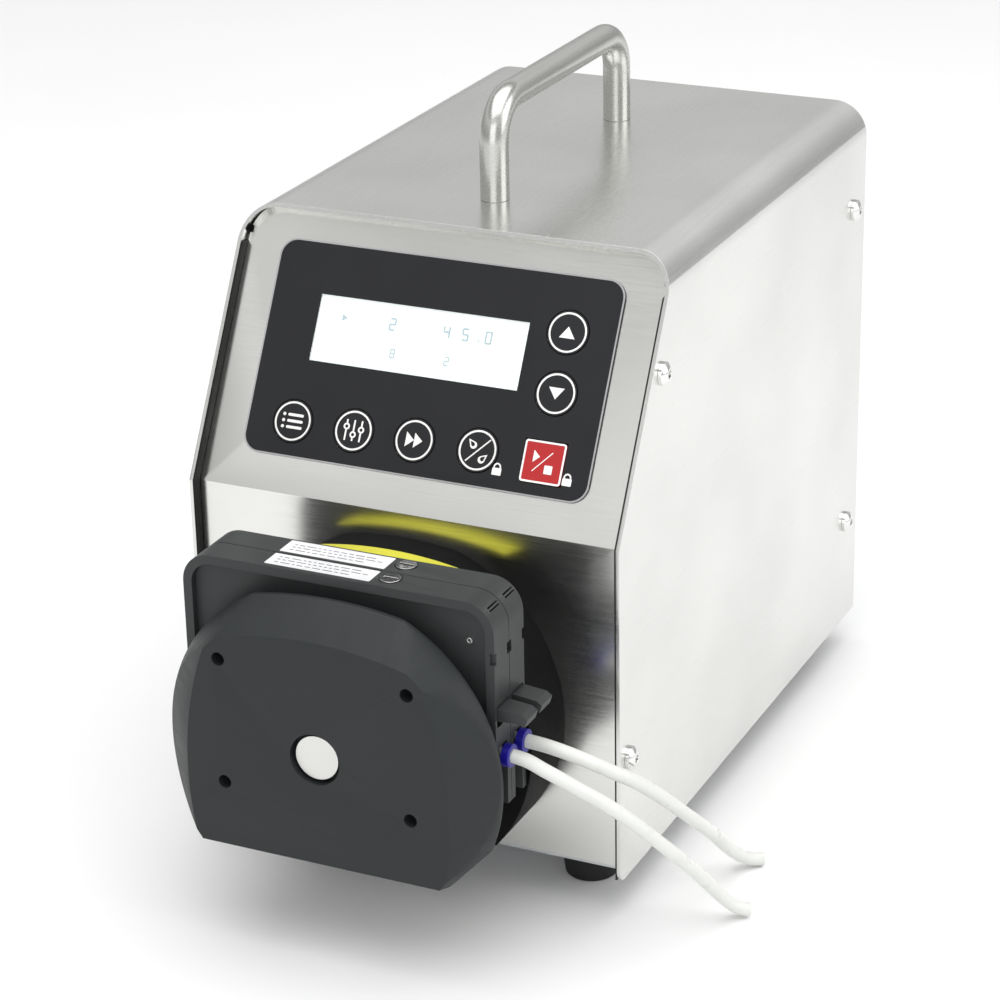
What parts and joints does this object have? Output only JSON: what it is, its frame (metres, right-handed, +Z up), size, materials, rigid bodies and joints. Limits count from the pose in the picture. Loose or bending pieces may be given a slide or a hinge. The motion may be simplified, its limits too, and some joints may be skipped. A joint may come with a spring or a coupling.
{
  "type": "peristaltic pump",
  "caption": "Bench peristaltic pump: sheet-steel drive with a sloped keypad and a carry handle, driving a roller head with lift-out tubing cartridges.",
  "frame": {"origin": "middle of the underside of the feet's plane, under the centre of the pump's box without its loose tubing", "axes": "+X to the pump's right, +Y to its back (the pump head faces -Y), +Z up"},
  "size_m": [0.1915, 0.288, 0.2441],
  "materials": {
    "cover_steel": "fine brushed stainless sheet",
    "panel_steel": "brushed stainless sheet",
    "zinc_steel": "zinc-plated sheet",
    "handle_steel": "polished steel bar",
    "screw_steel": "bright plated steel",
    "foot_rubber": "black moulded rubber",
    "keypad_film": "matt charcoal printed film",
    "display_glass": "clear window",
    "display_white": "pale backlit display",
    "circuit_board": "green lacquered board",
    "key_dark": "matt charcoal",
    "key_red": "satin red",
    "black_plastic": "black moulded plastic",
    "motor_paint": "dark satin paint",
    "gear_case_metal": "cast, bead blasted",
    "gear_brass": "machined",
    "shaft_steel": "ground steel",
    "head_black": "black moulded plastic",
    "head_grey": "fine textured dark grey",
    "dark_screw": "blackened steel",
    "cartridge_grey": "fine textured dark grey",
    "shoe_plastic": "natural acetal",
    "roller_nylon": "white nylon",
    "stop_blue": "deep blue moulded plastic",
    "tubing": "milky translucent silicone"
  },
  "bodies": {
    "housing": {"top_cover": "cover_steel", "front_panel": "panel_steel", "rear_panel": "panel_steel", "chassis_tray": "zinc_steel", "carry_handle": "handle_steel", "handle_screws": "screw_steel", "cover_screws": "screw_steel", "rubber_feet": "foot_rubber", "foot_screws": "screw_steel", "keypad_overlay": "keypad_film", "display_window": "display_glass", "lcd_module": "display_white", "control_board": "circuit_board", "power_supply": "zinc_steel", "mains_inlet": "black_plastic", "switch_frame": "black_plastic", "control_port": "screw_steel", "motor_housing": "motor_paint", "motor_bracket": "zinc_steel", "gear_case": "gear_case_metal", "head_rear_body": "head_black", "head_screws": "screw_steel", "tie_rods": "shaft_steel", "head_front_cover": "head_grey", "front_cover_screws": "dark_screw", "shaft_bearings": "shaft_steel", "tube_stops": "stop_blue", "tube_runs": "tubing", "tube_tail_front": "tubing", "tube_tail_rear": "tubing"},
    "rotor": {"rotor_shaft": "shaft_steel", "rotor_front_disc": "shaft_steel", "rotor_rear_disc": "shaft_steel", "roller_pins": "shaft_steel", "drive_shaft": "shaft_steel", "output_gear": "gear_brass"},
    "pinion": {"motor_pinion": "gear_brass"},
    "fuse_holder": {"fuse_drawer": "black_plastic"},
    "rocker": {"power_rocker": "black_plastic"},
    "cartridge_front": {"cartridge_front": "cartridge_grey", "pressure_shoe_front": "shoe_plastic"},
    "cartridge_rear": {"cartridge_rear": "cartridge_grey", "pressure_shoe_rear": "shoe_plastic"},
    "adjuster_front": {"adjuster_front": "screw_steel"},
    "adjuster_rear": {"adjuster_rear": "screw_steel"},
    "tab_front": {"release_tab_front": "cartridge_grey"},
    "tab_rear": {"release_tab_rear": "cartridge_grey"},
    "roller_1": {"roller_1": "roller_nylon"},
    "roller_2": {"roller_2": "roller_nylon"},
    "roller_3": {"roller_3": "roller_nylon"},
    "roller_4": {"roller_4": "roller_nylon"},
    "roller_5": {"roller_5": "roller_nylon"},
    "roller_6": {"roller_6": "roller_nylon"},
    "key_up": {"key_up": "key_dark"},
    "key_down": {"key_down": "key_dark"},
    "key_menu": {"key_menu": "key_dark"},
    "key_mode": {"key_mode": "key_dark"},
    "key_fast": {"key_fast": "key_dark"},
    "key_direction": {"key_direction": "key_dark"},
    "key_start_stop": {"key_start_stop": "key_red"}
  },
  "joints": [
    {"name": "rotor_spin", "type": "hinge", "parent": "housing", "child": "rotor", "pos_m": [0, -0.1, 0.07], "axis": [0, 1, 0], "continuous": true},
    {"name": "roller_1_spin", "type": "hinge", "parent": "rotor", "child": "roller_1", "pos_m": [0, -0.11675, 0.0925], "axis": [0, 1, 0], "continuous": true},
    {"name": "roller_2_spin", "type": "hinge", "parent": "rotor", "child": "roller_2", "pos_m": [-0.01949, -0.11675, 0.08125], "axis": [0, 1, 0], "continuous": true},
    {"name": "roller_3_spin", "type": "hinge", "parent": "rotor", "child": "roller_3", "pos_m": [-0.01949, -0.11675, 0.05875], "axis": [0, 1, 0], "continuous": true},
    {"name": "roller_4_spin", "type": "hinge", "parent": "rotor", "child": "roller_4", "pos_m": [0, -0.11675, 0.0475], "axis": [0, 1, 0], "continuous": true},
    {"name": "roller_5_spin", "type": "hinge", "parent": "rotor", "child": "roller_5", "pos_m": [0.01949, -0.11675, 0.05875], "axis": [0, 1, 0], "continuous": true},
    {"name": "roller_6_spin", "type": "hinge", "parent": "rotor", "child": "roller_6", "pos_m": [0.01949, -0.11675, 0.08125], "axis": [0, 1, 0], "continuous": true},
    {"name": "pinion_spin", "type": "hinge", "parent": "housing", "child": "pinion", "pos_m": [0, -0.066, 0.09815], "axis": [0, 1, 0], "continuous": true},
    {"name": "key_up_press", "type": "slide", "parent": "housing", "child": "key_up", "axis": [0, 0.8719, -0.4898], "range_m": [0, 0.0006], "stiffness_N_per_m": 400},
    {"name": "key_down_press", "type": "slide", "parent": "housing", "child": "key_down", "axis": [0, 0.8719, -0.4898], "range_m": [0, 0.0006], "stiffness_N_per_m": 400},
    {"name": "key_menu_press", "type": "slide", "parent": "housing", "child": "key_menu", "axis": [0, 0.8719, -0.4898], "range_m": [0, 0.0006], "stiffness_N_per_m": 400},
    {"name": "key_mode_press", "type": "slide", "parent": "housing", "child": "key_mode", "axis": [0, 0.8719, -0.4898], "range_m": [0, 0.0006], "stiffness_N_per_m": 400},
    {"name": "key_fast_press", "type": "slide", "parent": "housing", "child": "key_fast", "axis": [0, 0.8719, -0.4898], "range_m": [0, 0.0006], "stiffness_N_per_m": 400},
    {"name": "key_direction_press", "type": "slide", "parent": "housing", "child": "key_direction", "axis": [0, 0.8719, -0.4898], "range_m": [0, 0.0006], "stiffness_N_per_m": 400},
    {"name": "key_start_stop_press", "type": "slide", "parent": "housing", "child": "key_start_stop", "axis": [0, 0.8719, -0.4898], "range_m": [0, 0.0006], "stiffness_N_per_m": 400},
    {"name": "fuse_drawer_pull", "type": "slide", "parent": "housing", "child": "fuse_holder", "axis": [0, 1, 0], "range_m": [0, 0.018]},
    {"name": "power_rocker_tip", "type": "hinge", "parent": "housing", "child": "rocker", "pos_m": [-0.038, 0.134, 0.092], "axis": [0, 0, 1], "range_deg": [0, 16]},
    {"name": "cartridge_front_lift", "type": "slide", "parent": "housing", "child": "cartridge_front", "axis": [0, 0, 1], "range_m": [0, 0.07]},
    {"name": "adjuster_front_turn", "type": "hinge", "parent": "cartridge_front", "child": "adjuster_front", "pos_m": [0.016, -0.1207, 0.118], "axis": [0, 0, 1], "range_deg": [-180, 180]},
    {"name": "release_tab_front_press", "type": "hinge", "parent": "cartridge_front", "child": "tab_front", "pos_m": [0.0515, -0.1218, 0.088], "axis": [0, 1, 0], "range_deg": [0, 6], "stiffness_Nm_per_rad": 0.05},
    {"name": "cartridge_rear_lift", "type": "slide", "parent": "housing", "child": "cartridge_rear", "axis": [0, 0, 1], "range_m": [0, 0.07]},
    {"name": "adjuster_rear_turn", "type": "hinge", "parent": "cartridge_rear", "child": "adjuster_rear", "pos_m": [0.016, -0.1101, 0.118], "axis": [0, 0, 1], "range_deg": [-180, 180]},
    {"name": "release_tab_rear_press", "type": "hinge", "parent": "cartridge_rear", "child": "tab_rear", "pos_m": [0.0515, -0.1112, 0.088], "axis": [0, 1, 0], "range_deg": [0, 6], "stiffness_Nm_per_rad": 0.05}
  ],
  "couplings": [
    {"joint": "pinion_spin", "follows": "rotor_spin", "ratio": -3}
  ]
}
